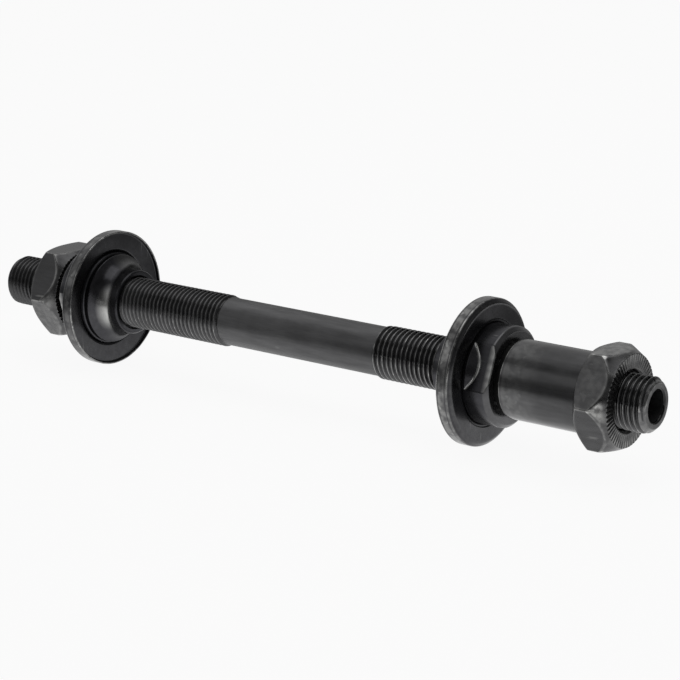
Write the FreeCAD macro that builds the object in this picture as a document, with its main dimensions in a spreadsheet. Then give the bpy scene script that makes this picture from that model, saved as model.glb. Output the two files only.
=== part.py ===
import FreeCAD, Part
import math
import os
import Sketcher

# A bicycle rear hub's hollow axle with its cones, dust caps, washers, spacer tube and locknuts.
# The axle lies along Y with its middle at the origin. Left is +Y and the drive side is -Y.
# Every piece is drawn along its own Y, then placed; right-hand pieces are turned half round, and so is the left
# locknut, whose teeth bite on its washer.

os.makedirs("parts", exist_ok=True)
doc = FreeCAD.newDocument("hollow_hub_axle")

SIZES = {
    # axle
    "axle_length": 146.6,
    "thread_radius": 4.93,
    "plain_radius": 4.55,
    "left_thread_length": 55.0,
    "right_thread_length": 55.0,
    "thread_runout": 0.5,
    "end_bevel": 0.6,
    "bore_radius": 2.85,
    "bore_bevel": 0.25,
    "seat_groove_width": 0.6,
    "seat_groove_depth": 0.35,
    # cones
    "thread_clearance": 0.05,
    "cone_length": 13.15,
    "cone_bevel": 0.35,
    "nose_radius": 6.3,
    "nose_length": 1.65,
    "nose_bevel": 0.25,
    "race_radius": 3.8,
    "lip_radius": 8.75,
    "collar_start": 6.1,
    "collar_step": 0.15,
    "collar_radius": 9.05,
    "collar_bevel": 0.7,
    "flat_distance": 8.0,
    "flat_length": 2.65,
    "flat_runout": 1.85,
    # dust caps
    "cap_place": 5.5,
    "cap_clearance": 0.03,
    "cap_radius": 13.3,
    "cap_edge": 0.12,
    "cap_lip_width": 0.3,
    "cap_lip_slope": 0.2,
    "cap_lip_depth": 0.65,
    "cap_hole_step": 0.52,
    "cap_hole_depth": 1.0,
    "cap_seat_start": 1.35,
    "cap_seat_end": 2.6,
    "cap_dish_step": 0.67,
    "cap_dish_slope": 0.2,
    "cap_width": 2.8,
    "cap_face_radius": 12.5,
    "cap_rim_width": 2.15,
    # washers and spacer
    "washer_thickness": 1.05,
    "washer_radius": 6.75,
    "washer_bore_radius": 5.3,
    "spacer_length": 15.55,
    "spacer_radius": 7.12,
    "spacer_bore_radius": 5.4,
    "spacer_bevel": 0.2,
    # locknuts
    "nut_thickness": 6.4,
    "nut_across_flats": 17.0,
    "nut_face_radius": 8.1,
    "nut_shoulder": 3.0,
    "nut_plain_radius": 8.4,
    "nut_plain_bevel": 1.2,
    "nut_countersink_radius": 5.7,
    "tooth_count": 60.0,
    "tooth_width": 0.52,
    "tooth_depth": 0.3,
    # free thread from each end of the axle to its locknut
    "left_reach": 10.85,
    "right_reach": 5.0,
}

sheet = doc.addObject("Spreadsheet::Sheet", "Sizes")
for row, (alias, value) in enumerate(SIZES.items(), start=1):
    sheet.set(f"A{row}", alias)
    sheet.set(f"B{row}", str(value))
    sheet.setAlias(f"B{row}", alias)
doc.recompute()


class Size:
    """A length that keeps its number for the first drawing and its formula for the model."""

    def __init__(self, number, formula):
        self.number = number
        self.formula = formula

    def __add__(self, other):
        return Size(self.number + other.number, f"({self.formula} + {other.formula})")

    def __sub__(self, other):
        return Size(self.number - other.number, f"({self.formula} - {other.formula})")

    def __neg__(self):
        return Size(-self.number, f"(-1 * {self.formula})")

    def times(self, factor):
        return Size(self.number * factor, f"({self.formula} * {factor})")


def size(alias):
    return Size(SIZES[alias], f"Sizes.{alias}")


ZERO = Size(0.0, "0")
SPARE = Size(1.0, "1")
HALF_WIDTH_SHARE = 0.5


def new_body(label):
    body = doc.addObject("PartDesign::Body", label)
    body.Label = label
    return body


def new_sketch(body, role, name):
    plane = [item for item in body.Origin.OriginFeatures if item.Role == role][0]
    sketch = body.newObject("Sketcher::SketchObject", name)
    sketch.AttachmentSupport = [(plane, "")]
    sketch.MapMode = "FlatFace"
    return sketch


def pin(sketch, geometry, point, corner, free_along=False):
    """Ties one point of a profile to its two sizes, measured from the sketch's origin."""
    across, along = corner
    wanted = [("DistanceX", -2, across)]
    if not free_along:
        wanted.append(("DistanceY", -1, along))
    for kind, axis, length in wanted:
        if length is ZERO:
            sketch.addConstraint(Sketcher.Constraint("PointOnObject", geometry, point, axis))
        else:
            rule = Sketcher.Constraint(kind, -1, 1, geometry, point, length.number)
            index = sketch.addConstraint(rule)
            sketch.setExpression(f"Constraints[{index}]", length.formula)


def outline(sketch, corners, hollow=None):
    """Draws a closed profile. hollow is (edge number, centre) and makes that edge a concave arc."""
    at = [FreeCAD.Vector(across.number, along.number, 0) for across, along in corners]
    edges = []
    for number, start in enumerate(at):
        end = at[(number + 1) % len(at)]
        if hollow and hollow[0] == number:
            centre = FreeCAD.Vector(hollow[1][0].number, hollow[1][1].number, 0)
            ring = Part.Circle(centre, FreeCAD.Vector(0, 0, 1), (start - centre).Length)
            low = math.atan2(end.y - centre.y, end.x - centre.x)
            arc = sketch.addGeometry(Part.ArcOfCircle(ring, low, math.pi))
            edges.append((arc, 2, 1))
        else:
            edges.append((sketch.addGeometry(Part.LineSegment(start, end)), 1, 2))
    for number, (geometry, _, last) in enumerate(edges):
        following, first, _ = edges[(number + 1) % len(edges)]
        sketch.addConstraint(Sketcher.Constraint("Coincident", geometry, last, following, first))
    for number, corner in enumerate(corners):
        geometry, first, _ = edges[number]
        after_arc = bool(hollow) and number == hollow[0] + 1
        pin(sketch, geometry, first, corner, free_along=after_arc)
    if hollow:
        pin(sketch, edges[hollow[0]][0], 3, hollow[1])


def turn(body, name, corners, hollow=None):
    """A full turn of a profile around the body's own Y axis."""
    sketch = new_sketch(body, "XY_Plane", name + "_profile")
    outline(sketch, corners, hollow)
    feature = body.newObject("PartDesign::Revolution", name)
    feature.Profile = sketch
    feature.ReferenceAxis = (sketch, ["V_Axis"])
    feature.Angle = 360.0
    sketch.Visibility = False
    doc.recompute()
    return feature


def cut(body, name, role, loops, depth, both_ways, offset=None):
    """Pockets one or more outlines and makes sure that metal was really taken away."""
    before = body.Shape.Volume
    sketch = new_sketch(body, role, name + "_profile")
    if offset:
        sketch.setExpression("AttachmentOffset.Base.z", offset.formula)
    for corners in loops:
        outline(sketch, corners)
    pocket = body.newObject("PartDesign::Pocket", name)
    pocket.Profile = sketch
    pocket.setExpression("Length", depth.formula)
    if both_ways:
        pocket.Midplane = True
    else:
        pocket.Reversed = True
    sketch.Visibility = False
    doc.recompute()
    if not body.Shape.Volume < before - 0.01:
        raise RuntimeError(f"{name} on {body.Label} cut nothing")
    return pocket


def around(body, name, feature, count):
    """Repeats a pocket around the body's own Y axis."""
    before = body.Shape.Volume
    pattern = body.newObject("PartDesign::PolarPattern", name)
    pattern.Originals = [feature]
    axis = [item for item in body.Origin.OriginFeatures if item.Role == "Y_Axis"][0]
    pattern.Axis = (axis, [""])
    pattern.Angle = 360.0
    pattern.setExpression("Occurrences", count.formula)
    body.Tip = pattern
    doc.recompute()
    if not body.Shape.Volume < before - 0.01:
        raise RuntimeError(f"{name} on {body.Label} cut nothing")


def place(body, along, turned_half, phase):
    """Moves a piece out along the axle, turned half round if it faces the drive side."""
    spin = FreeCAD.Rotation(FreeCAD.Vector(0, 1, 0), phase)
    half = FreeCAD.Rotation(FreeCAD.Vector(0, 0, 1), 180 if turned_half else 0)
    body.Placement = FreeCAD.Placement(FreeCAD.Vector(0, 0, 0), half.multiply(spin))
    shift = -along if turned_half else along
    body.setExpression("Placement.Base.y", shift.formula)


half_length = size("axle_length").times(HALF_WIDTH_SHARE)
thread = size("thread_radius")
nut_bore = thread + size("thread_clearance")
left_nut_end = half_length - size("left_reach")
left_nut_start = left_nut_end - size("nut_thickness")
left_collar_end = left_nut_start - size("washer_thickness")
left_nose = left_collar_end - size("cone_length")
right_nut_end = half_length - size("right_reach")
right_nut_start = right_nut_end - size("nut_thickness")
right_spacer_start = right_nut_start - size("spacer_length")
right_collar_end = right_spacer_start - size("washer_thickness")
right_nose = right_collar_end - size("cone_length")


def make_axle():
    """Thread crests stand as plain cylinders; a groove ends each dropout seat at its nut's outer face."""
    body = new_body("axle")
    plain = size("plain_radius")
    bevel = size("end_bevel")
    bore = size("bore_radius")
    mouth = bore + size("bore_bevel")
    groove = thread - size("seat_groove_depth")
    width = size("seat_groove_width")
    right_plain = size("right_thread_length") - half_length
    left_plain = half_length - size("left_thread_length")
    turn(body, "axle_blank", [
        (mouth, -half_length),
        (thread - bevel, -half_length),
        (thread, bevel - half_length),
        (thread, -(right_nut_end + width)),
        (groove, -(right_nut_end + width)),
        (groove, -right_nut_end),
        (thread, -right_nut_end),
        (thread, right_plain),
        (plain, right_plain + size("thread_runout")),
        (plain, left_plain - size("thread_runout")),
        (thread, left_plain),
        (thread, left_nut_end),
        (groove, left_nut_end),
        (groove, left_nut_end + width),
        (thread, left_nut_end + width),
        (thread, half_length - bevel),
        (thread - bevel, half_length),
        (mouth, half_length),
        (bore, half_length - size("bore_bevel")),
        (bore, size("bore_bevel") - half_length),
    ])
    return body


def make_cone(label, along, turned_half, phase):
    """A bearing cone: hollow ball race, cap seat, and a collar with two flats that run out in a cone."""
    body = new_body(label)
    length = size("cone_length")
    bevel = size("cone_bevel")
    nose = size("nose_radius")
    nose_end = size("nose_length")
    lip = size("lip_radius")
    collar = size("collar_radius")
    start = size("collar_start")
    step = size("collar_step")
    edge = size("collar_bevel")
    race = size("race_radius")
    rise = math.sqrt(race.number ** 2 - (nose.number + race.number - lip.number) ** 2)
    race_end = Size(nose_end.number + rise, "0")
    turn(body, label + "_blank", [
        (nut_bore + bevel, ZERO),
        (nose - size("nose_bevel"), ZERO),
        (nose, size("nose_bevel")),
        (nose, nose_end),
        (lip, race_end),
        (lip, start),
        (collar - step, start),
        (collar, start + step),
        (collar, length - edge),
        (collar - edge, length),
        (nut_bore + bevel, length),
        (nut_bore, length - bevel),
        (nut_bore, bevel),
    ], hollow=(3, (nose + race, nose_end)))
    flat = size("flat_distance")
    flat_start = length - size("flat_length")
    runout_start = flat_start - size("flat_runout")
    beyond = collar + SPARE
    cut(body, label + "_flats", "XY_Plane", [
        [(flat, runout_start), (beyond, runout_start), (beyond, length + SPARE), (flat, length + SPARE)],
        [(-beyond, runout_start), (-flat, runout_start), (-flat, length + SPARE), (-beyond, length + SPARE)],
    ], beyond.times(2), both_ways=True)
    turn(body, label + "_runout", [
        (flat - SPARE, runout_start),
        (collar, runout_start),
        (flat, flat_start),
        (flat - SPARE, flat_start),
    ])
    place(body, along, turned_half, phase)
    return body


def make_cap(label, along, turned_half):
    """A pressed dust cap: lipped inner side, bevelled rim, flat outer face, seated on the collar."""
    body = new_body(label)
    rim = size("cap_radius")
    edge = size("cap_edge")
    lip = rim - size("cap_lip_width")
    seat = size("collar_radius") + size("cap_clearance")
    hole = seat + size("cap_hole_step")
    dish = seat + size("cap_dish_step")
    width = size("cap_width")
    turn(body, label + "_disc", [
        (lip, ZERO),
        (rim - edge, ZERO),
        (rim, edge),
        (rim, size("cap_rim_width")),
        (size("cap_face_radius"), width),
        (dish, width),
        (dish - size("cap_dish_slope"), size("cap_seat_end")),
        (seat, size("cap_seat_end")),
        (seat, size("cap_seat_start")),
        (hole, size("cap_hole_depth")),
        (lip - size("cap_lip_slope"), size("cap_lip_depth")),
    ])
    place(body, along, turned_half, 0)
    return body


def make_ring(label, inner, outer, length, bevel, along, turned_half):
    """A plain ring with lightly bevelled outer corners: the washers and the spacer tube."""
    body = new_body(label)
    turn(body, label + "_ring", [
        (inner, ZERO),
        (outer - bevel, ZERO),
        (outer, bevel),
        (outer, length - bevel),
        (outer - bevel, length),
        (inner, length),
    ])
    place(body, along, turned_half, 0)
    return body


def make_nut(label, along, turned_half, phase):
    """A locknut drawn from its plain face: turned blank, six flats, and radial teeth on the other face."""
    body = new_body(label)
    thick = size("nut_thickness")
    across = size("nut_across_flats").times(HALF_WIDTH_SHARE)
    corner = across.times(2 / math.sqrt(3))
    face = size("nut_face_radius")
    mouth = size("nut_countersink_radius")
    sink = mouth - nut_bore
    turn(body, label + "_blank", [
        (mouth, ZERO),
        (size("nut_plain_radius"), ZERO),
        (corner, size("nut_plain_bevel")),
        (corner, thick - size("nut_shoulder")),
        (face, thick),
        (mouth, thick),
        (nut_bore, thick - sink),
        (nut_bore, sink),
    ])
    beyond = corner + SPARE
    flat = cut(body, label + "_flat", "XY_Plane", [
        [(across, -SPARE), (beyond, -SPARE), (beyond, thick + SPARE), (across, thick + SPARE)],
    ], beyond.times(2), both_ways=True)
    around(body, label + "_hexagon", flat, Size(6, "6"))
    half_tooth = size("tooth_width").times(HALF_WIDTH_SHARE)
    deep = size("tooth_depth")
    tooth = cut(body, label + "_tooth", "YZ_Plane", [
        [(thick - deep, ZERO), (thick, -half_tooth), (thick + deep, -half_tooth),
         (thick + deep, half_tooth), (thick, half_tooth)],
    ], beyond, both_ways=False, offset=nut_bore + size("tooth_depth"))
    around(body, label + "_teeth", tooth, size("tooth_count"))
    place(body, along, turned_half, phase)
    return body


LEFT_CONE_PHASE = -16.0
RIGHT_CONE_PHASE = -23.0
LEFT_NUT_PHASE = 32.0
RIGHT_NUT_PHASE = 29.4

pieces = [
    make_axle(),
    make_cone("left_cone", left_nose, False, LEFT_CONE_PHASE),
    make_cone("right_cone", right_nose, True, RIGHT_CONE_PHASE),
    make_cap("left_dust_cap", left_nose + size("cap_place"), False),
    make_cap("right_dust_cap", right_nose + size("cap_place"), True),
    make_ring("left_washer", size("washer_bore_radius"), size("washer_radius"), size("washer_thickness"),
              size("spacer_bevel"), left_collar_end, False),
    make_ring("right_washer", size("washer_bore_radius"), size("washer_radius"), size("washer_thickness"),
              size("spacer_bevel"), right_collar_end, True),
    make_ring("right_spacer", size("spacer_bore_radius"), size("spacer_radius"), size("spacer_length"),
              size("spacer_bevel"), right_spacer_start, True),
    make_nut("left_locknut", -left_nut_end, True, LEFT_NUT_PHASE),
    make_nut("right_locknut", right_nut_start, True, RIGHT_NUT_PHASE),
]
doc.recompute()

for item in doc.Objects:
    if "Invalid" in item.State or "Error" in item.State:
        raise RuntimeError(f"{item.Label} did not recompute: {item.State}")
for body in pieces:
    if body.Shape.isNull() or not body.Shape.isValid() or len(body.Shape.Solids) != 1:
        raise RuntimeError(f"{body.Label} is not one sound solid")
    body.Shape.exportStep(f"parts/{body.Label}.step")
    box = body.Shape.BoundBox
    print(body.Label, "solid of", round(body.Shape.Volume, 1), "mm3, along Y", round(box.YMin, 2), round(box.YMax, 2))
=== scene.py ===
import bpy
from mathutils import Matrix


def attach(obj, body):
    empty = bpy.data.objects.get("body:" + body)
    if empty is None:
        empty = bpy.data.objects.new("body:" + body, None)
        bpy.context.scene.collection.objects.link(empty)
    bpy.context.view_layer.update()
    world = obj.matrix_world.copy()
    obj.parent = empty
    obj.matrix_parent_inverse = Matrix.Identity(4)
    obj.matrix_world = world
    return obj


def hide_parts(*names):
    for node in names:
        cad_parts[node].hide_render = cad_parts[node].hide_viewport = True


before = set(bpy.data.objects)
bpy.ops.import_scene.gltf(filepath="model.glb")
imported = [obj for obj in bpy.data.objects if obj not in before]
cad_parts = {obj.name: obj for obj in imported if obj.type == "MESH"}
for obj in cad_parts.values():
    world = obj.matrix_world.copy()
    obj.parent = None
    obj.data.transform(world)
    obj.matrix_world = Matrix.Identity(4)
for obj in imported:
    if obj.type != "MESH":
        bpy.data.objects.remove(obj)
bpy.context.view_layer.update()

import math

import bmesh
import bpy
from bpy.props import FloatProperty, FloatVectorProperty, IntProperty, PointerProperty
from bpy.types import Operator, Panel, PropertyGroup
from mathutils import Matrix, Vector

bl_info = {
    "name": "Hollow hub axle",
    "version": (1, 0, 0),
    "blender": (4, 5, 0),
    "location": "3D View > Sidebar > Hub axle",
    "description": "Builds a rear hub's hollow axle with its cones, dust caps, washers, "
                   "spacer and locknuts",
    "category": "Add Mesh",
}

MM = 0.001

# degrees by which each piece with flats is turned on the axle
LEFT_CONE_PHASE = -16.0
RIGHT_CONE_PHASE = -23.0
LEFT_NUT_PHASE = 32.0
RIGHT_NUT_PHASE = 29.4

# columns of points round each piece
ROD_COLUMNS = 72
CONE_COLUMNS = 360
CAP_COLUMNS = 180
WASHER_COLUMNS = 120
TUBE_COLUMNS = 160
NUT_COLUMNS = 480

# one turn of the thread: share of the pitch, share of the depth, and the mark: crests bright as
# wear and painted highlight, grooves dark as painted shade
THREAD_SHAPE = ((0.00, 0.12, -0.3), (0.06, 0.0, 0.7), (0.12, 0.0, 0.7), (0.18, 0.12, -0.3),
                (0.34, 0.6, -0.8), (0.50, 1.0, -1.0), (0.68, 1.0, -1.0), (0.84, 0.6, -0.8))

# where the marks lie round the axis, in radians: painted highlight on the rod's threads and on a
# race, painted shade beside the race's, and a cap rim's scuff and painted highlight
THREAD_HIGHLIGHT_SIDE = math.radians(252)
RACE_HIGHLIGHT_SIDE = math.radians(166)
RACE_SHADE_SIDE = math.radians(117)
RIM_SCUFF_AND_HIGHLIGHT_SIDE = 0.5

# marks on a nut's slope and corners, spanner wear and painted highlight together, stronger on the
# drive side's nut; then painted light and shade on each of its six flat sides
LEFT_NUT_CORNER_MARKING = 0.3
RIGHT_NUT_CORNER_MARKING = 1.0
LEFT_NUT_SIDES = (0.15, -0.3, 0.0, 0.05, -0.1, 0.0)
RIGHT_NUT_SIDES = (-0.2, 0.12, 0.45, 0.05, 0.0, 0.1)
# painted highlight (above 0) and painted shade (below 0) on the slope by each of the six corners,
# with some spanner wear
NUT_CORNER_LIGHT = (2.4, -1.6, 1.2, 0.6, 1.6, -0.6)

# level of the studio's light, by degrees up from the far side and over to the near side
STUDIO_LIGHT = ((-180, 0.16), (-10, 0.4), (25, 0.45), (54, 0.62), (72, 0.7), (87, 0.64),
                (100, 0.54), (110, 0.27), (122, 0.25), (132, 0.52), (142, 0.6), (152, 0.48),
                (162, 0.28), (172, 0.17), (180, 0.16))

# lengths of the stage in metres, and the lens and its sensor in millimetres
FLOOR_HALF = 15.0
SOFTBOX_SIDE = 0.6
SOFTBOX_WATTS = 0.9
SOFTBOX_PLACE = (0.05, -0.15, 0.7)
LENS_MM = 117.6
SENSOR_MM = 36.0
CAMERA_PLACE = (-0.3166, -0.2405, 0.1115)
CAMERA_AHEAD = (0.775186, 0.570318, -0.271705)
CAMERA_RIGHT = (0.592611, -0.805488, 0.0)
CAMERA_ABOVE = (0.218856, 0.161016, 0.962380)


def linear(code):
    """Turns an sRGB hex colour into the linear numbers that shaders use."""
    parts = [int(code[place:place + 2], 16) / 255 for place in (1, 3, 5)]
    return tuple(part / 12.92 if part <= 0.04045 else ((part + 0.055) / 1.055) ** 2.4
                 for part in parts)


def length(label, millimetres, description):
    """A length that the user can change, given in millimetres and kept in metres."""
    return FloatProperty(name=label, description=description, default=millimetres * MM, min=0.0,
                         precision=5, unit="LENGTH", subtype="DISTANCE")


def colour(label, code, description):
    """A colour that the user can change, given as sRGB hex."""
    return FloatVectorProperty(name=label, description=description, default=linear(code), size=3,
                               min=0.0, max=1.0, subtype="COLOR")


class HubAxleSizes(PropertyGroup):
    """Lengths of the axle and the pieces on it."""

    axle_length: length("Axle length", 146.6, "End to end length of the hollow rod")
    thread_radius: length("Thread radius", 4.93, "Radius over the thread's crests")
    thread_pitch: length("Thread pitch", 1.0, "Distance from one crest to the next")
    thread_depth: length("Thread depth", 0.58, "Depth of the thread from crest to root")
    thread_length: length("Thread length", 55.0, "Threaded length at each end")
    thread_runout: length("Thread run-out", 0.5, "Length over which the thread fades out")
    plain_radius: length("Plain radius", 4.55, "Radius of the unthreaded middle")
    end_bevel: length("End bevel", 0.95, "Bevel at each end of the rod")
    bore_radius: length("Bore radius", 2.85, "Radius of the bore for the skewer")
    bore_bevel: length("Bore bevel", 0.25, "Bevel at the mouths of the bore")
    thread_clearance: length("Thread clearance", 0.05, "Room between thread and what turns on it")
    cone_length: length("Cone length", 13.15, "Length of a bearing cone")
    cone_bore_bevel: length("Cone bore bevel", 0.35, "Bevel at the mouths of a cone's bore")
    nose_radius: length("Nose radius", 6.3, "Radius of a cone's nose")
    nose_length: length("Nose length", 1.65, "Length of a cone's nose before the race")
    nose_bevel: length("Nose bevel", 0.25, "Bevel at the front of a cone's nose")
    race_radius: length("Race radius", 3.8, "Radius of the hollow in which the balls run")
    lip_radius: length("Lip radius", 8.75, "Radius where the race ends")
    collar_start: length("Collar start", 6.1, "Where the collar starts, from the nose")
    collar_step: length("Collar step", 0.15, "Bevel at the start of the collar")
    collar_radius: length("Collar radius", 9.05, "Radius of the collar")
    collar_bevel: length("Collar bevel", 0.7, "Bevel at the collar's outer end")
    flat_distance: length("Flat distance", 8.0, "Distance of a wrench flat from the axis")
    flat_length: length("Flat length", 2.65, "Length of the full wrench flats")
    flat_runout: length("Flat run-out", 1.85, "Length of the conical run-out of the flats")
    left_nose: length("Left nose", 41.85, "Place of the left cone's nose from the middle")
    right_nose: length("Right nose", 32.15, "Place of the right cone's nose from the middle")
    cap_place: length("Cap place", 5.5, "Where a dust cap starts on its cone, from the nose")
    cap_radius: length("Cap radius", 13.3, "Radius of a dust cap's rim")
    cap_width: length("Cap width", 2.8, "Width of a dust cap")
    cap_face_radius: length("Cap face radius", 12.5, "Radius of the flat outer face of a cap")
    cap_rim_width: length("Cap rim width", 2.15, "Width of the cap's rim before its bevel")
    cap_dish_radius: length("Cap dish radius", 9.75, "Radius of the dish in a cap's outer face")
    cap_dish_floor: length("Cap dish floor", 9.55, "Radius of the dish's floor")
    cap_dish_level: length("Cap dish level", 2.65, "Height of the dish's floor in the cap")
    cap_hollow_radius: length("Cap hollow radius", 9.6, "Radius where a cap's hollow side starts")
    cap_hollow_depth: length("Cap hollow depth", 1.0, "Depth of the hollow side by the bore")
    cap_seat_start: length("Cap seat start", 1.35, "Where a cap's seat on the collar starts")
    cap_lip_width: length("Cap lip width", 0.5, "Width of the lip round the hollow side")
    cap_lip_depth: length("Cap lip depth", 0.65, "Depth of the hollow side by the lip")
    cap_play: length("Cap play", 0.03, "Room between a cap and its collar")
    washer_thickness: length("Washer thickness", 1.05, "Thickness of the thin washers")
    washer_radius: length("Washer radius", 6.75, "Radius of the thin washers")
    washer_bore_radius: length("Washer bore", 5.3, "Radius of the washers' bores")
    spacer_length: length("Spacer length", 15.55, "Length of the spacer tube")
    spacer_radius: length("Spacer radius", 7.12, "Radius of the spacer tube")
    spacer_bore_radius: length("Spacer bore", 5.4, "Radius of the spacer tube's bore")
    nut_thickness: length("Nut thickness", 6.4, "Thickness of a locknut")
    nut_across_flats: length("Nut across flats", 17.0, "Width of a locknut across its flats")
    nut_face_radius: length("Nut face radius", 8.1, "Radius of a locknut's toothed face")
    nut_shoulder: length("Nut shoulder", 3.0, "Length of the slope down to the toothed face")
    nut_plain_radius: length("Nut plain radius", 8.4, "Radius of a locknut's plain face")
    nut_plain_bevel: length("Nut plain bevel", 1.2, "Length of the slope down to the plain face")
    nut_mouth_radius: length("Nut mouth radius", 5.7, "Radius of the countersink in a locknut")
    tooth_count: IntProperty(name="Teeth", description="Number of radial teeth on a nut's face",
                             default=60, min=3)
    tooth_width: length("Tooth groove width", 0.52, "Width of the groove between two teeth")
    tooth_depth: length("Tooth groove depth", 0.13, "Depth of the groove between two teeth")


class HubAxleColours(PropertyGroup):
    """Colours of the finishes and of the floor."""

    rod_oxide: colour("Rod black", "#686869", "Blackened steel of the rod")
    tube_oxide: colour("Tube black", "#525253", "Blackened steel of the spacer tube")
    nut_oxide: colour("Nut black", "#545455", "Blackened steel of the locknuts")
    cap_oxide: colour("Cap black", "#48484a", "Blackened steel of the pressed dust caps")
    cone_oxide: colour("Cone black", "#47474a", "Blackened steel of the bearing cones")
    washer_black: colour("Washer black", "#222222", "Dull black of the thin washers")
    bare: colour("Bare steel", "#c2c2c0", "Steel where the black is worn through")
    paper: colour("Floor", "#f4f4f4", "Matt white floor")


def skin(name, columns):
    """A smooth closed mesh over columns of points (x, y, z, worn) that go round the axle's line.

    The last value goes to the finish: above 0 it bares the steel, as wear and as painted highlight;
    below 0 it darkens, as an oily film and as painted shade.
    """
    mesh = bpy.data.meshes.new(name)
    surface = bmesh.new()
    worn = surface.verts.layers.float.new("worn")
    grid = []
    for column in columns:
        line = []
        for x, y, z, wear in column:
            vertex = surface.verts.new((x, y, z))
            vertex[worn] = wear
            line.append(vertex)
        line.append(line[0])
        grid.append(line)
    for here, beside in zip(grid, grid[1:] + grid[:1]):
        for low in range(len(here) - 1):
            surface.faces.new((here[low], here[low + 1], beside[low + 1], beside[low]))
    bmesh.ops.remove_doubles(surface, verts=surface.verts, dist=0.002 * MM)
    bmesh.ops.recalc_face_normals(surface, faces=surface.faces)
    for face in surface.faces:
        face.smooth = True
    surface.to_mesh(mesh)
    surface.free()
    return mesh


def rounded(corners):
    """Softens a closed profile of (radius, along, fillet, worn) to points (radius, along, worn)."""
    steps = 4
    points = []
    for place, (radius, along, fillet, wear) in enumerate(corners):
        here = Vector((radius, along))
        if fillet == 0:
            points.append((radius, along, wear))
            continue
        back = Vector(corners[place - 1][:2]) - here
        ahead = Vector(corners[(place + 1) % len(corners)][:2]) - here
        reach = min(fillet, back.length * 0.3, ahead.length * 0.3)
        start = here + back.normalized() * reach
        end = here + ahead.normalized() * reach
        # the wear of an edge stops a little way beyond its fillet
        points.append((*(start + back.normalized() * reach * 0.5), 0.0))
        for step in range(steps + 1):
            share = step / steps
            point = start * (1 - share) ** 2 + here * 2 * share * (1 - share) + end * share ** 2
            points.append((*point, wear))
        points.append((*(end + ahead.normalized() * reach * 0.5), 0.0))
    return points


def turned(name, points, count, scuff_and_highlight=0.0):
    """Turns a closed profile of (radius, along, worn) round the axle's line.

    The last argument raises the marks on one side: scuffing and painted highlight together.
    """
    columns = []
    for number in range(count):
        angle = 2 * math.pi * number / count
        # one side is brighter: scuffing and painted highlight
        more = 1 + scuff_and_highlight * max(0.0, math.cos(angle - RIM_SCUFF_AND_HIGHLIGHT_SIDE))
        columns.append([(r * math.cos(angle), y, r * math.sin(angle), max(wear, wear * more))
                        for r, y, wear in points])
    return skin(name, columns)


def settle(name, mesh, along, facing_right, phase, body, node, finish):
    """Places a piece as its CAD solid is placed, gives it its finish and rides it on its body."""
    spin = Matrix.Rotation(math.radians(phase), 4, "Y")
    half = Matrix.Rotation(math.pi if facing_right else 0.0, 4, "Z")
    shift = Matrix.Translation((0.0, -along if facing_right else along, 0.0))
    mesh.transform(shift @ half @ spin)
    mesh.materials.append(finish)
    piece = bpy.data.objects.new(name, mesh)
    bpy.context.scene.collection.objects.link(piece)
    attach(piece, body)
    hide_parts(node)


def add(tree, kind, settings=None, links=None):
    """Adds one node; settings name its sockets or its properties, links the sockets to feed."""
    node = tree.nodes.new(kind)
    for key, value in (settings or {}).items():
        if isinstance(key, int) or key in node.inputs:
            node.inputs[key].default_value = value
        else:
            setattr(node, key, value)
    for key, source in (links or {}).items():
        tree.links.new(source, node.inputs[key])
    return node


def per_metre(millimetres):
    """Pattern scale of a texture whose features are this many millimetres apart."""
    return 1.0 / (millimetres * MM)


def new_finish(name):
    """A finish and its empty node tree, or no tree where the finish was made before."""
    finish = bpy.data.materials.get(name)
    if finish:
        return finish, None
    finish = bpy.data.materials.new(name)
    finish.use_nodes = True
    finish.node_tree.nodes.clear()
    return finish, finish.node_tree


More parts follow.
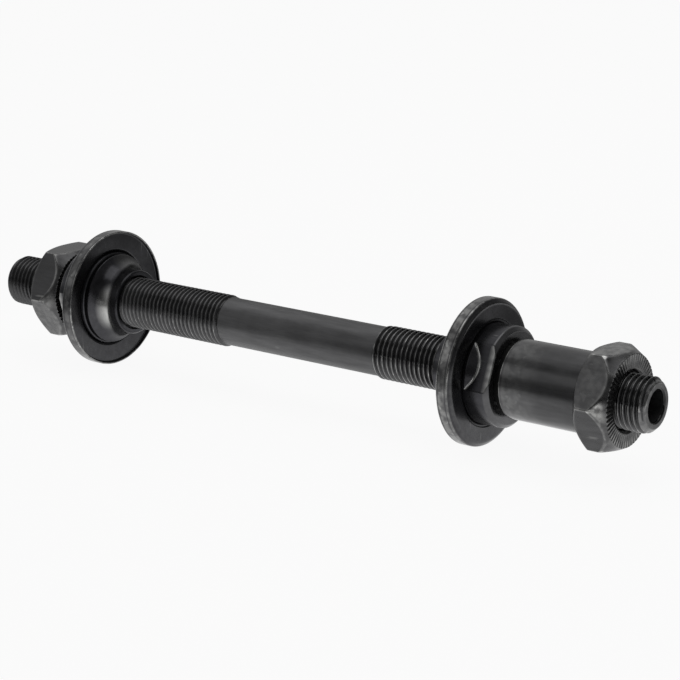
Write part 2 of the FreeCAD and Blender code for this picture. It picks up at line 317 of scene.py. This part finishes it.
def black_oxide_steel(name, black, bare, gloss, wear_share, shine=0.1, ground=False):
    """Steel blackened in a hot bath: a satin dark mirror with oily clouds, bright where rubbing and
    painted highlight bare it, darker under oily film and painted shade.

    gloss is the roughness, wear_share how far the bright marks of wear and painted highlight bare
    the steel, and shine how far they polish.
    """
    finish, tree = new_finish(name)
    if tree is None:
        return finish
    # a ground surface wears evenly, without chips, and has little grit
    even, chips, rise = (0.8, 0.0, 0.01) if ground else (0.3, 0.9, 0.035)
    place = add(tree, "ShaderNodeTexCoord").outputs["Object"]
    edge = add(tree, "ShaderNodeAttribute", {"attribute_name": "worn"}).outputs["Fac"]

    # oil stands in clouds of a few millimetres
    clouds = add(tree, "ShaderNodeTexNoise",
                 {"Scale": per_metre(6.0), "Detail": 4.0, "Roughness": 0.55},
                 {"Vector": place}).outputs["Fac"]
    tone = add(tree, "ShaderNodeMapRange",
               {"From Min": 0.3, "From Max": 0.7, "To Min": 0.83, "To Max": 1.13},
               {"Value": clouds}).outputs["Result"]
    # below 0 the mark darkens the colour: oil, and painted shade in grooves and hollows
    oil_and_shade = add(tree, "ShaderNodeMapRange",
              {"From Min": 0.0, "From Max": -1.0, "To Min": 1.0, "To Max": 0.22},
              {"Value": edge}).outputs["Result"]
    # drawing leaves fine streaks along the axle: given here 0.9 mm wide, so that they show
    drawn = add(tree, "ShaderNodeMapping", {"Scale": (1.0, 0.12, 1.0)},
                {"Vector": place}).outputs["Vector"]
    streaks = add(tree, "ShaderNodeTexNoise",
                  {"Scale": per_metre(0.9), "Detail": 3.0, "Roughness": 0.65},
                  {"Vector": drawn}).outputs["Fac"]
    grain = add(tree, "ShaderNodeMapRange",
                {"From Min": 0.3, "From Max": 0.7, "To Min": 0.84, "To Max": 1.15},
                {"Value": streaks}).outputs["Result"]
    shade = add(tree, "ShaderNodeMath", {"operation": "MULTIPLY"},
                {0: tone, 1: oil_and_shade}).outputs["Value"]
    shade = add(tree, "ShaderNodeMath", {"operation": "MULTIPLY"},
                {0: shade, 1: grain}).outputs["Value"]
    dark = add(tree, "ShaderNodeVectorMath", {"operation": "SCALE", 0: tuple(black)},
               {"Scale": shade}).outputs["Vector"]

    # the bright marks, wear and painted highlight alike, are patchy
    rub = add(tree, "ShaderNodeTexNoise", {"Scale": per_metre(1.4), "Detail": 1.5},
              {"Vector": place}).outputs["Fac"]
    rubbed_and_lit = add(tree, "ShaderNodeMapRange",
                 {"From Min": 0.38, "From Max": 0.62, "To Min": even * wear_share,
                  "To Max": wear_share}, {"Value": rub}).outputs["Result"]
    worn = add(tree, "ShaderNodeMath", {"operation": "MULTIPLY"},
               {0: edge, 1: rubbed_and_lit}).outputs["Value"]
    # a real scratch is a few hundredths of a millimetre wide: drawn ten times as wide, to show
    nicked = add(tree, "ShaderNodeMapping",
                 {"Rotation": (0.5, 0.3, 0.8), "Scale": (1.0, 0.05, 0.05)},
                 {"Vector": place}).outputs["Vector"]
    lines = add(tree, "ShaderNodeTexNoise", {"Scale": per_metre(0.4), "Detail": 1.0},
                {"Vector": nicked}).outputs["Fac"]
    scratch = add(tree, "ShaderNodeMapRange",
                  {"From Min": 0.66, "From Max": 0.76, "To Min": 0.0, "To Max": 0.3},
                  {"Value": lines}).outputs["Result"]
    patch = add(tree, "ShaderNodeMapRange", {"From Min": 0.53, "From Max": 0.63},
                {"Value": clouds}).outputs["Result"]
    scratched = add(tree, "ShaderNodeMath", {"operation": "MULTIPLY"},
                    {0: scratch, 1: patch}).outputs["Value"]
    bright = add(tree, "ShaderNodeMath", {"operation": "MAXIMUM", "use_clamp": True},
                 {0: worn, 1: scratched}).outputs["Value"]
    # specks where a worn edge is chipped to the bare metal, drawn coarse so that they show
    chip = add(tree, "ShaderNodeTexNoise", {"Scale": per_metre(0.9), "Detail": 0.5},
               {"Vector": place}).outputs["Fac"]
    speck = add(tree, "ShaderNodeMapRange",
                {"From Min": 0.62, "From Max": 0.7, "To Min": 0.0, "To Max": chips},
                {"Value": chip}).outputs["Result"]
    chipped = add(tree, "ShaderNodeMath", {"operation": "MULTIPLY", "use_clamp": True},
                  {0: speck, 1: edge}).outputs["Value"]
    bright = add(tree, "ShaderNodeMath", {"operation": "MAXIMUM"},
                 {0: bright, 1: chipped}).outputs["Value"]
    base = add(tree, "ShaderNodeMix", {"data_type": "RGBA", 7: (*bare, 1.0)}, {0: bright, 6: dark})

    # rubbing polishes, and so does oil
    matt = add(tree, "ShaderNodeMapRange",
               {"From Min": 0.3, "From Max": 0.7, "To Min": gloss - 0.05, "To Max": gloss + 0.07},
               {"Value": clouds}).outputs["Result"]
    slick = add(tree, "ShaderNodeMath", {"operation": "ABSOLUTE", "use_clamp": True},
                {0: edge}).outputs["Value"]
    rough = add(tree, "ShaderNodeMath", {"operation": "MULTIPLY_ADD", 1: -shine},
                {0: slick, 2: matt})
    # the etched grit is finer than this: drawn 0.35 mm wide, so that it shows
    grit = add(tree, "ShaderNodeTexNoise",
               {"Scale": per_metre(0.35), "Detail": 3.0, "Roughness": 0.6}, {"Vector": place})
    bump = add(tree, "ShaderNodeBump", {"Strength": rise, "Distance": 0.02 * MM},
               {"Height": grit.outputs["Fac"]})
    shader = add(tree, "ShaderNodeBsdfPrincipled", {"Metallic": 0.9},
                 {"Base Color": base.outputs[2], "Roughness": rough.outputs["Value"],
                  "Normal": bump.outputs["Normal"]})
    add(tree, "ShaderNodeOutputMaterial", None, {"Surface": shader.outputs["BSDF"]})
    return finish


def matt_white_paper(colours):
    """Smooth white card: even and matt to the eye, with a soft shadow.

    Metal sees a pool of light on it round the object, and a dimmer card further off.
    """
    finish, tree = new_finish("matt_white_paper")
    if tree is None:
        return finish
    place = add(tree, "ShaderNodeTexCoord").outputs["Object"]
    # paper fibre is finer than this: drawn 2 mm apart, so that it shows
    fibre = add(tree, "ShaderNodeTexNoise", {"Scale": per_metre(2.0), "Detail": 2.0},
                {"Vector": place})
    bump = add(tree, "ShaderNodeBump", {"Strength": 0.02, "Distance": 0.02 * MM},
               {"Height": fibre.outputs["Fac"]})
    card = add(tree, "ShaderNodeBsdfDiffuse", {"Color": (*colours.paper, 1.0)},
               {"Normal": bump.outputs["Normal"]})
    axes = add(tree, "ShaderNodeSeparateXYZ", None, {"Vector": place}).outputs
    # the card is lit round the object, less far behind it, and again in front of the drive side
    pool_near, pool_far, front_near, front_far = 0.03, 0.075, -0.095, -0.115
    pool_level, front_level, dim_level = 1.0, 0.9, 0.18
    behind = add(tree, "ShaderNodeMath", {"operation": "MULTIPLY", 1: 1.4},
                 {0: axes["X"]}).outputs["Value"]
    before = add(tree, "ShaderNodeMath", {"operation": "MULTIPLY", 1: -1.0},
                 {0: axes["X"]}).outputs["Value"]
    across = add(tree, "ShaderNodeMath", {"operation": "MAXIMUM"},
                 {0: behind, 1: before}).outputs["Value"]
    along = add(tree, "ShaderNodeMath", {"operation": "MULTIPLY", 1: 0.45},
                {0: axes["Y"]}).outputs["Value"]
    pool = add(tree, "ShaderNodeCombineXYZ", None, {"X": across, "Y": along}).outputs["Vector"]
    aside = add(tree, "ShaderNodeVectorMath", {"operation": "LENGTH"}, {0: pool}).outputs["Value"]
    fade = add(tree, "ShaderNodeMapRange",
               {"From Min": pool_near, "From Max": pool_far, "To Min": pool_level,
                "To Max": dim_level}, {"Value": aside}).outputs["Result"]
    front = add(tree, "ShaderNodeMapRange",
                {"From Min": front_near, "From Max": front_far, "To Min": dim_level,
                 "To Max": front_level}, {"Value": axes["Y"]}).outputs["Result"]
    fade = add(tree, "ShaderNodeMath", {"operation": "MAXIMUM"},
               {0: fade, 1: front}).outputs["Value"]
    # the eye sees plain white, and metal sees the pool; other rays meet the card itself
    path = add(tree, "ShaderNodeLightPath").outputs
    glow = add(tree, "ShaderNodeMath", {"operation": "MAXIMUM"},
               {0: path["Is Camera Ray"], 1: fade})
    white = add(tree, "ShaderNodeEmission", {"Color": (1.0, 1.0, 1.0, 1.0)},
                {"Strength": glow.outputs["Value"]})
    seen = add(tree, "ShaderNodeMath", {"operation": "ADD"},
               {0: path["Is Camera Ray"], 1: path["Is Glossy Ray"]})
    seen = add(tree, "ShaderNodeMath", {"operation": "ADD", "use_clamp": True},
               {0: seen.outputs["Value"], 1: path["Is Transmission Ray"]})
    # the rest of what is seen is the card, which keeps the shadow
    white_share = 0.93
    share = add(tree, "ShaderNodeMath", {"operation": "MULTIPLY", 1: white_share},
                {0: seen.outputs["Value"]})
    mix = add(tree, "ShaderNodeMixShader", None,
              {0: share.outputs["Value"], 1: card.outputs["BSDF"], 2: white.outputs["Emission"]})
    add(tree, "ShaderNodeOutputMaterial", None, {"Surface": mix.outputs["Shader"]})
    return finish


class HUBAXLE_OT_rod(Operator):
    """Builds the hollow rod with its rolled threads"""

    bl_idname = "hubaxle.rod"
    bl_label = "Hollow rod"

    def execute(self, context):
        s = context.scene.hub_axle_sizes
        c = context.scene.hub_axle_colours
        half = s.axle_length / 2
        left_stub = s.left_nose + s.cone_length + s.washer_thickness + s.nut_thickness
        plain_end = half - s.thread_length - s.thread_runout
        end_radius = s.thread_radius - s.end_bevel
        mouth = s.bore_radius + s.bore_bevel
        rim = 0.1 * MM
        hole = [(end_radius - rim, half, 0.3), (mouth + rim, half, 0.2), (mouth, half, -0.8),
                (s.bore_radius, half - s.bore_bevel, -1.0),
                (s.bore_radius, half - 2 * s.bore_bevel, 0.0)]
        turns = int(math.ceil((half - plain_end) / s.thread_pitch)) + 1
        columns = []
        for number in range(ROD_COLUMNS + 1):
            lead = number / ROD_COLUMNS
            angle = 2 * math.pi * lead
            # painted highlight: the crests grow brighter on the lower side facing the camera
            thread_highlight = max(0.0, math.cos(angle - THREAD_HIGHLIGHT_SIDE)) ** 4
            column = []
            for side in (-1, 1):
                drive = side < 0
                low, high = sorted((side * plain_end, side * half))
                for turn in range(-1, turns + 1):
                    for share, sunk, wear in THREAD_SHAPE:
                        y = low + (turn + share + lead - 1) * s.thread_pitch
                        y = min(max(y, low), high)
                        grown = min(max((abs(y) - plain_end) / s.thread_runout, 0.0), 1.0)
                        cut = s.thread_radius - sunk * s.thread_depth
                        radius = s.plain_radius + (cut - s.plain_radius) * grown
                        bevel = end_radius + half - abs(y)
                        # painted highlight on the crests and painted shade in the grooves,
                        # strongest on the drive side, weaker on the left, and the far stub evenly
                        # darker
                        contrast = 1.0 if drive else (0.05 if y > left_stub else 0.55)
                        wear = (-0.3 if drive else -0.4) + (wear + 0.5) * contrast
                        wear = max(wear, wear * (1 + thread_highlight * (0.6 if drive else 3.0)))
                        if bevel < radius:
                            radius = bevel
                            wear = 0.6
                        column.append((radius, y, wear * grown))
            column += hole + [(r, -y, wear) for r, y, wear in reversed(hole)]
            columns.append([(r * math.sin(angle), y, r * math.cos(angle), wear)
                            for r, y, wear in column])
        mesh = skin("hollow_rod", columns)
        # drawn bar with a rolled thread: matt black, grooves darkened as painted shade, crests
        # bared to a sheen by wear and painted highlight
        finish = black_oxide_steel("black_oxide_rolled_steel", c.rod_oxide, c.bare,
                                   gloss=0.48, wear_share=0.4, shine=0.45)
        settle("hollow_rod", mesh, 0.0, False, 0.0, "axle", "axle", finish)
        return {"FINISHED"}


def cone_mesh(name, s):
    """A bearing cone from its nose outwards, with a hollow race and two flats on its collar."""
    bore = s.thread_radius + s.thread_clearance
    bevel = s.cone_bore_bevel
    end = s.cone_length
    inner = [(bore, end / 2, 0.0), (bore, bevel, 0.0)]
    # the nose's front is darkened: painted shade round the rod
    front = rounded([
        (bore, bevel, 0, 0),
        (bore + bevel, 0.0, 0.08 * MM, -0.5),
        (s.nose_radius - s.nose_bevel, 0.0, 0.1 * MM, -0.5),
        (s.nose_radius, s.nose_bevel, 0.1 * MM, -0.3),
        (s.nose_radius, s.nose_length, 0, 0.1),
        (bore, s.nose_length, 0, 0.0),
    ])[2:-1]
    race_centre = s.nose_radius + s.race_radius
    rise = math.sqrt(s.race_radius ** 2 - (race_centre - s.lip_radius) ** 2)
    sweep = math.atan2(rise, race_centre - s.lip_radius)
    race_steps = 24
    race = []
    for step in range(1, race_steps + 1):
        angle = sweep * step / race_steps
        race.append((race_centre - s.race_radius * math.cos(angle),
                     s.nose_length + s.race_radius * math.sin(angle),
                     max(0.0, 1.6 - 0.14 * abs(step - 5))))
    # the seat beside the cap is darkened: painted shade in the crevice
    seat = [(s.lip_radius, s.nose_length + rise + 0.08 * MM, -0.2),
            (s.lip_radius, s.collar_start - 0.05 * MM, -0.6),
            (s.lip_radius, s.collar_start, -0.6),
            (s.collar_radius - s.collar_step, s.collar_start, 0.0),
            (s.collar_radius, s.collar_start + s.collar_step, 0.0)]
    runout_start = end - s.flat_length - s.flat_runout
    # close together over the run-out of the flats, and again over the bevel at the end
    levels = [runout_start - 0.3 * MM + 0.1 * MM * step for step in range(26)]
    levels += [end - s.collar_bevel - 0.3 * MM * step for step in range(3, -1, -1)]
    levels += [end - s.collar_bevel * share for share in (0.8, 0.6, 0.4, 0.25, 0.12, 0.0)]
    arc_band = 0.25 * MM
    edge_band = 1.3 * MM
    edge_soft = 0.15 * MM
    columns = []
    for number in range(CONE_COLUMNS):
        angle = 2 * math.pi * number / CONE_COLUMNS
        # painted light on the race: a painted highlight on one side of the bared ball track,
        # painted shade beside it, and one side lighter than the other
        race_highlight = max(0.0, math.cos(angle - RACE_HIGHLIGHT_SIDE)) ** 4
        race_shade = max(0.0, math.cos(angle - RACE_SHADE_SIDE)) ** 4
        side_tone = 0.1 + 0.25 * math.sin(RACE_HIGHLIGHT_SIDE - angle) - 0.6 * race_shade
        track = [(r, y, side_tone + race_highlight * wear) for r, y, wear in race]
        # the edges of the flats are brightened unevenly: spanner chips and painted highlight
        # together
        ragged = 0.85 + 0.35 * math.sin(23 * angle + 1) * math.sin(9 * angle)
        across = s.flat_distance / max(abs(math.cos(angle)), 0.2)
        sunk = (s.collar_radius - across) / (s.collar_radius - s.flat_distance)
        arc = runout_start + s.flat_runout * sunk
        outer = []
        for y in levels:
            full = min(s.collar_radius, s.collar_radius - (y - end + s.collar_bevel))
            if y < runout_start:
                radius = full
            else:
                share = min((y - runout_start) / s.flat_runout, 1.0)
                slope = s.collar_radius + (s.flat_distance - s.collar_radius) * share
                floor = max(across, slope) - max(0.0, y - (end - edge_soft))
                radius = min(full, floor)
            wear = 0.0
            # the collar's end, the flats' edges and the run-out arc are brightened: wear and
            # painted highlight
            if y > end - s.collar_bevel * 1.01:
                wear = 0.15
            if y > end - edge_band and across < full:
                wear = 1.4 * ragged * (1 - (end - y) / edge_band)
            if across < s.collar_radius and abs(y - arc) < arc_band:
                wear = 1.5 * ragged
            outer.append((radius, y, wear))
        last = outer[-1][0]
        face = [(last - edge_soft, end, 0.15), (bore + bevel + 0.1 * MM, end, 0.1),
                (bore + bevel, end, 0.3), (bore, end - bevel, 0.0)]
        column = inner + front + track + seat + outer + face
        columns.append([(r * math.cos(angle), y, r * math.sin(angle), wear)
                        for r, y, wear in column])
    return skin(name, columns)


class HUBAXLE_OT_cones(Operator):
    """Builds the two bearing cones with their races and wrench flats"""

    bl_idname = "hubaxle.cones"
    bl_label = "Bearing cones"

    def execute(self, context):
        s = context.scene.hub_axle_sizes
        c = context.scene.hub_axle_colours
        # hardened and ground: smooth and dark, bare where the balls run, with a painted highlight
        # there
        finish = black_oxide_steel("ground_bearing_steel", c.cone_oxide, c.bare,
                                   gloss=0.26, wear_share=0.8, ground=True)
        settle("left_bearing_cone", cone_mesh("left_bearing_cone", s), s.left_nose, False,
               LEFT_CONE_PHASE, "left_cone", "left_cone", finish)
        settle("right_bearing_cone", cone_mesh("right_bearing_cone", s), s.right_nose, True,
               RIGHT_CONE_PHASE, "right_cone", "right_cone", finish)
        return {"FINISHED"}


def cap_points(s):
    """Profile of a dust cap from its lipped inner side, round the rim, to the dished outer face."""
    rim = s.cap_radius
    rim_bevel = 0.12 * MM
    seat = s.collar_radius + s.cap_play
    # the rim's corners are bright: wear and painted highlight
    return rounded([
        (rim - 0.3 * MM, 0.0, 0.06 * MM, 0.5),
        (rim - rim_bevel, 0.0, 0.05 * MM, 0.9),
        (rim, rim_bevel, 0.05 * MM, 1.2),
        (rim, 0.6 * MM, 0, 0.36),
        (rim, s.cap_rim_width - 0.6 * MM, 0, 0.32),
        (rim, s.cap_rim_width, 0.25 * MM, 0.4),
        (s.cap_face_radius, s.cap_width, 0.35 * MM, 0.05),
        # the dish and the seat on the collar are darker: painted shade in the hollow
        (s.cap_dish_radius, s.cap_width, 0.15 * MM, -0.1),
        (s.cap_dish_floor, s.cap_dish_level, 0.05 * MM, -0.2),
        (seat, s.cap_dish_level, 0, -0.3),
        (seat, s.cap_seat_start, 0, -0.5),
        (s.cap_hollow_radius, s.cap_hollow_depth, 0.1 * MM, 0.0),
        (rim - s.cap_lip_width, s.cap_lip_depth, 0.1 * MM, 0.0),
    ])


class HUBAXLE_OT_caps(Operator):
    """Builds the two pressed dust caps"""

    bl_idname = "hubaxle.caps"
    bl_label = "Dust caps"

    def execute(self, context):
        s = context.scene.hub_axle_sizes
        c = context.scene.hub_axle_colours
        # pressed from sheet: satin dark faces, and a rim lighter on one side, scuffed grey and with
        # painted highlight
        finish = black_oxide_steel("black_oxide_pressed_steel", c.cap_oxide, c.bare,
                                   gloss=0.24, wear_share=0.7)
        points = cap_points(s)
        # one side of the rim lighter: scuffing and painted highlight
        scuff_and_highlight = 1.1
        settle("left_cap_disc", turned("left_cap_disc", points, CAP_COLUMNS, scuff_and_highlight),
               s.left_nose + s.cap_place, False, 0.0,
               "left_cap", "left_dust_cap", finish)
        settle("right_cap_disc", turned("right_cap_disc", points, CAP_COLUMNS, scuff_and_highlight),
               s.right_nose + s.cap_place, True, 0.0,
               "right_cap", "right_dust_cap", finish)
        return {"FINISHED"}


def ring_points(inner, outer, width, fillet, wear):
    """Profile of a plain ring with softened corners."""
    return rounded([
        (inner, 0.0, fillet, 0.2),
        (outer, 0.0, fillet, wear),
        (outer, width, fillet, wear),
        (inner, width, fillet, 0.2),
    ])


class HUBAXLE_OT_rings(Operator):
    """Builds the thin washers and the spacer tube"""

    bl_idname = "hubaxle.rings"
    bl_label = "Washers and spacer tube"

    def execute(self, context):
        s = context.scene.hub_axle_sizes
        c = context.scene.hub_axle_colours
        # stamped washers: dull and almost black, without a sheen
        dull = black_oxide_steel("dull_black_washer_steel", c.washer_black, c.bare,
                                 gloss=0.55, wear_share=0.1)
        # drawn tube: the smoothest piece, with long soft reflections and rubbed ends
        drawn = black_oxide_steel("black_oxide_drawn_steel", c.tube_oxide, c.bare,
                                  gloss=0.17, wear_share=0.8)
        washer = ring_points(s.washer_bore_radius, s.washer_radius, s.washer_thickness,
                             0.15 * MM, 0.5)
        tube = ring_points(s.spacer_bore_radius, s.spacer_radius, s.spacer_length, 0.2 * MM, 1.0)
        # fingers have rubbed the tube beside its washer: millimetres from that end, worn
        grip = [(s.spacer_radius, reach * MM, wear)
                for reach, wear in ((0.8, 0.2), (3.0, 0.16), (6.0, 0.06), (8.0, 0.0))]
        half_way = next(place for place, point in enumerate(tube)
                        if point[1] > s.spacer_length / 2)
        tube = tube[:half_way] + grip + tube[half_way:]
        left_end = s.left_nose + s.cone_length
        right_end = s.right_nose + s.cone_length
        settle("left_thin_washer", turned("left_thin_washer", washer, WASHER_COLUMNS),
               left_end, False, 0.0, "left_stack", "left_washer", dull)
        settle("right_thin_washer", turned("right_thin_washer", washer, WASHER_COLUMNS),
               right_end, True, 0.0, "right_stack", "right_washer", dull)
        settle("spacer_tube", turned("spacer_tube", tube, TUBE_COLUMNS),
               right_end + s.washer_thickness, True, 0.0,
               "right_stack", "right_spacer", drawn)
        return {"FINISHED"}


def nut_mesh(name, s, corner_marking, sides):
    """A locknut drawn from its plain face: softened hexagon, two sloped shoulders, a toothed face.

    The third argument scales the marks on its slope and corners, spanner wear and painted highlight
    together, and the fourth gives each flat side its painted light and shade.
    """
    sixth = math.pi / 3
    bore = s.thread_radius + s.thread_clearance
    mouth = s.nut_mouth_radius
    sink = mouth - bore
    flat = s.nut_across_flats / 2
    thick = s.nut_thickness
    face = s.nut_face_radius
    plain = s.nut_plain_radius
    corner = flat / math.cos(sixth / 2)
    steep = s.nut_shoulder / (corner - face)
    plain_steep = s.nut_plain_bevel / (corner - plain)
    # how sharp the corners are, how far their wear and painted highlight reach, and where the teeth
    # fade out
    corner_soft = 0.09 * MM
    ridge_reach = 0.4 * MM
    tip_reach = 1.0 * MM
    patch_reach = 2.2 * MM
    tooth_fade = 0.9 * MM
    columns = []
    for number in range(NUT_COLUMNS):
        angle = 2 * math.pi * number / NUT_COLUMNS
        off = abs((angle + sixth / 2) % sixth - sixth / 2)
        near = flat / math.cos(off)
        beside = flat / math.cos(sixth - off)
        side = near - corner_soft * math.log(1 + math.exp((near - beside) / corner_soft))
        from_corner = (sixth / 2 - off) * side
        ridge = max(0.0, 1 - from_corner / ridge_reach)
        tip = max(0.0, 1 - from_corner / tip_reach)
        patch = max(0.0, 1 - from_corner / patch_reach)
        # painted light and shade: each flat side gets its own tone
        rubbed_and_lit = sides[int((angle + sixth / 2) // sixth) % 6]
        # painted highlight and shade on the slope by each corner, with some spanner wear
        corner_patch_light = NUT_CORNER_LIGHT[int(angle // sixth)] * patch
        low = (side - plain) * plain_steep
        high = thick - (side - face) * steep
        column = [(bore, sink, 0.0), (mouth - 0.1 * MM, 0.1 * MM, 0.0), (mouth, 0.0, 0.0),
                  (mouth + 0.2 * MM, 0.0, 0.0), (plain - 0.2 * MM, 0.0, 0.1),
                  (plain, 0.02 * MM, 0.3)]
        for share in (0.25, 0.5, 0.75):
            radius = plain + (side - plain) * share
            column.append((radius, low * share + 0.02 * MM, tip * share))
        column += [(side - 0.03 * MM, low, 0.1 + 0.5 * tip),
                   (side, low + 0.15 * MM, 0.1 + 0.5 * tip)]
        for share in (0.1, 0.3, 0.5, 0.7, 0.9):
            column.append((side, low + (high - low) * share, rubbed_and_lit + 0.6 * ridge))
        soften = min(0.15 * MM, (side - face) * 0.2)
        # the corner ridges brighten: wear and painted highlight
        edge = corner_marking * 2.5 * ridge
        column += [(side, high - 0.15 * MM, 0.3 + edge),
                   (side - soften * 0.2, high + soften * 0.1, 0.35 + edge),
                   (side - soften, high + soften * steep, 0.25 + edge)]
        for share in (0.2, 0.4, 0.6, 0.8, 0.92):
            radius = side - soften + (face - side + soften) * share
            column.append((radius, thick - (radius - face) * steep,
                           corner_marking * (0.15 + corner_patch_light * (1 - share))))
        rim = face - 0.1 * MM
        column += [(face + 0.06 * MM, thick - 0.05 * MM, 0.2), (rim, thick, 0.4)]
        for share in (0.1, 0.3, 0.5, 0.7, 0.9, 1.0):
            column.append((rim + (mouth - rim) * share, thick, 0.6 - 0.4 * share))
        column += [(mouth - 0.12 * MM, thick - 0.12 * MM, 0.0), (bore, thick - sink, 0.0)]
        tooth = (angle * s.tooth_count / (2 * math.pi) + 0.5) % 1.0 - 0.5
        tooth *= 2 * math.pi / s.tooth_count
        for place, (radius, y, wear) in enumerate(column):
            groove = s.tooth_depth * (1 - abs(radius * math.sin(tooth)) / (s.tooth_width / 2))
            groove *= min(max((radius - mouth) / tooth_fade, 0.0), 1.0)
            if radius > bore and y > thick / 2 and thick - groove < y:
                column[place] = (radius, thick - groove, 0.1)
        columns.append([(r * math.cos(angle), y, r * math.sin(angle), wear)
                        for r, y, wear in column])
    return skin(name, columns)


class HUBAXLE_OT_nuts(Operator):
    """Builds the two toothed locknuts"""

    bl_idname = "hubaxle.nuts"
    bl_label = "Locknuts"

    def execute(self, context):
        s = context.scene.hub_axle_sizes
        c = context.scene.hub_axle_colours
        # forged: satin dark; corners brightened by spanner wear and painted highlight, flat sides
        # given painted light and shade
        finish = black_oxide_steel("black_oxide_forged_steel", c.nut_oxide, c.bare,
                                   gloss=0.27, wear_share=1.0)
        left_end = s.left_nose + s.cone_length + s.washer_thickness + s.nut_thickness
        right_start = s.right_nose + s.cone_length + s.washer_thickness + s.spacer_length
        left = nut_mesh("left_toothed_nut", s, LEFT_NUT_CORNER_MARKING, LEFT_NUT_SIDES)
        right = nut_mesh("right_toothed_nut", s, RIGHT_NUT_CORNER_MARKING, RIGHT_NUT_SIDES)
        settle("left_toothed_nut", left, -left_end, True, LEFT_NUT_PHASE,
               "left_nut", "left_locknut", finish)
        settle("right_toothed_nut", right, right_start, True, RIGHT_NUT_PHASE,
               "right_nut", "right_locknut", finish)
        return {"FINISHED"}


class HUBAXLE_OT_stage(Operator):
    """Lays the floor, hangs the soft lights and sets the camera"""

    bl_idname = "hubaxle.stage"
    bl_label = "Stage"

    def execute(self, context):
        scene = context.scene
        scene.view_settings.view_transform = "Standard"
        half = FLOOR_HALF
        mesh = bpy.data.meshes.new("floor")
        mesh.from_pydata([(-half, -half, 0), (half, -half, 0), (half, half, 0), (-half, half, 0)],
                         [], [(0, 1, 2, 3)])
        mesh.transform(Matrix.Translation((0, 0, -scene.hub_axle_sizes.cap_radius)))
        mesh.materials.append(matt_white_paper(scene.hub_axle_colours))
        floor = bpy.data.objects.new("floor", mesh)
        scene.collection.objects.link(floor)

        world = bpy.data.worlds.new("studio")
        scene.world = world
        world.use_nodes = True
        tree = world.node_tree
        tree.nodes.clear()
        way = add(tree, "ShaderNodeTexCoord").outputs["Generated"]
        axes = add(tree, "ShaderNodeSeparateXYZ", None, {"Vector": way}).outputs
        arch = add(tree, "ShaderNodeMath", {"operation": "ARCTAN2"},
                   {0: axes["Z"], 1: axes["X"]}).outputs["Value"]
        along = add(tree, "ShaderNodeMapRange", {"From Min": -math.pi, "From Max": math.pi},
                    {"Value": arch})
        ramp = add(tree, "ShaderNodeValToRGB", None, {"Fac": along.outputs["Result"]})
        stops = ramp.color_ramp.elements
        while len(stops) < len(STUDIO_LIGHT):
            stops.new(0.5)
        for stop, (degrees, level) in zip(stops, STUDIO_LIGHT):
            stop.position = (degrees + 180) / 360
            stop.color = (level, level, level, 1.0)
        # the boxes end beside the drive side, where the room is darker
        end = add(tree, "ShaderNodeMapRange",
                  {"From Min": -0.35, "From Max": 0.25, "To Min": 0.25}, {"Value": axes["Y"]})
        lit = add(tree, "ShaderNodeVectorMath", {"operation": "SCALE"},
                  {0: ramp.outputs["Color"], "Scale": end.outputs["Result"]}).outputs["Vector"]
        # beyond the floor the eye meets the same white
        eye = add(tree, "ShaderNodeLightPath").outputs["Is Camera Ray"]
        seen = add(tree, "ShaderNodeMix", {"data_type": "RGBA", 7: (1.0, 1.0, 1.0, 1.0)},
                   {0: eye, 6: lit})
        sky = add(tree, "ShaderNodeBackground", {"Strength": 1.0}, {"Color": seen.outputs[2]})
        add(tree, "ShaderNodeOutputWorld", None, {"Surface": sky.outputs["Background"]})

        lamp = bpy.data.lights.new("softbox", "AREA")
        lamp.shape = "RECTANGLE"
        lamp.size = SOFTBOX_SIDE
        lamp.size_y = SOFTBOX_SIDE
        lamp.energy = SOFTBOX_WATTS
        softbox = bpy.data.objects.new("softbox", lamp)
        softbox.location = SOFTBOX_PLACE
        scene.collection.objects.link(softbox)

        lens = bpy.data.cameras.new("camera")
        lens.sensor_width = SENSOR_MM
        lens.lens = LENS_MM
        lens.clip_start = 0.01
        camera = bpy.data.objects.new("camera", lens)
        rows = (Vector(CAMERA_RIGHT), Vector(CAMERA_ABOVE), -Vector(CAMERA_AHEAD))
        turn = Matrix(rows).transposed().to_4x4()
        camera.matrix_world = Matrix.Translation(CAMERA_PLACE) @ turn
        scene.collection.objects.link(camera)
        scene.camera = camera
        return {"FINISHED"}


class HUBAXLE_PT_pieces(Panel):
    """Lists the pieces of the hub axle"""

    bl_idname = "HUBAXLE_PT_pieces"
    bl_label = "Hollow hub axle"
    bl_space_type = "VIEW_3D"
    bl_region_type = "UI"
    bl_category = "Hub axle"

    def draw(self, context):
        for operator in PIECES + STAGE:
            self.layout.operator(operator.bl_idname)
        for group in (context.scene.hub_axle_sizes, context.scene.hub_axle_colours):
            for name in group.__annotations__:
                self.layout.prop(group, name)


PIECES = [HUBAXLE_OT_rod, HUBAXLE_OT_cones, HUBAXLE_OT_caps, HUBAXLE_OT_rings, HUBAXLE_OT_nuts]
STAGE = [HUBAXLE_OT_stage]
CLASSES = [HubAxleSizes, HubAxleColours] + PIECES + STAGE + [HUBAXLE_PT_pieces]


def register():
    for item in CLASSES:
        bpy.utils.register_class(item)
    bpy.types.Scene.hub_axle_sizes = PointerProperty(type=HubAxleSizes)
    bpy.types.Scene.hub_axle_colours = PointerProperty(type=HubAxleColours)


def unregister():
    del bpy.types.Scene.hub_axle_colours
    del bpy.types.Scene.hub_axle_sizes
    for item in reversed(CLASSES):
        bpy.utils.unregister_class(item)


def main():
    register()
    bpy.ops.hubaxle.rod()
    bpy.ops.hubaxle.cones()
    bpy.ops.hubaxle.caps()
    bpy.ops.hubaxle.rings()
    bpy.ops.hubaxle.nuts()
    bpy.ops.hubaxle.stage()


if __name__ == "__main__":
    main()
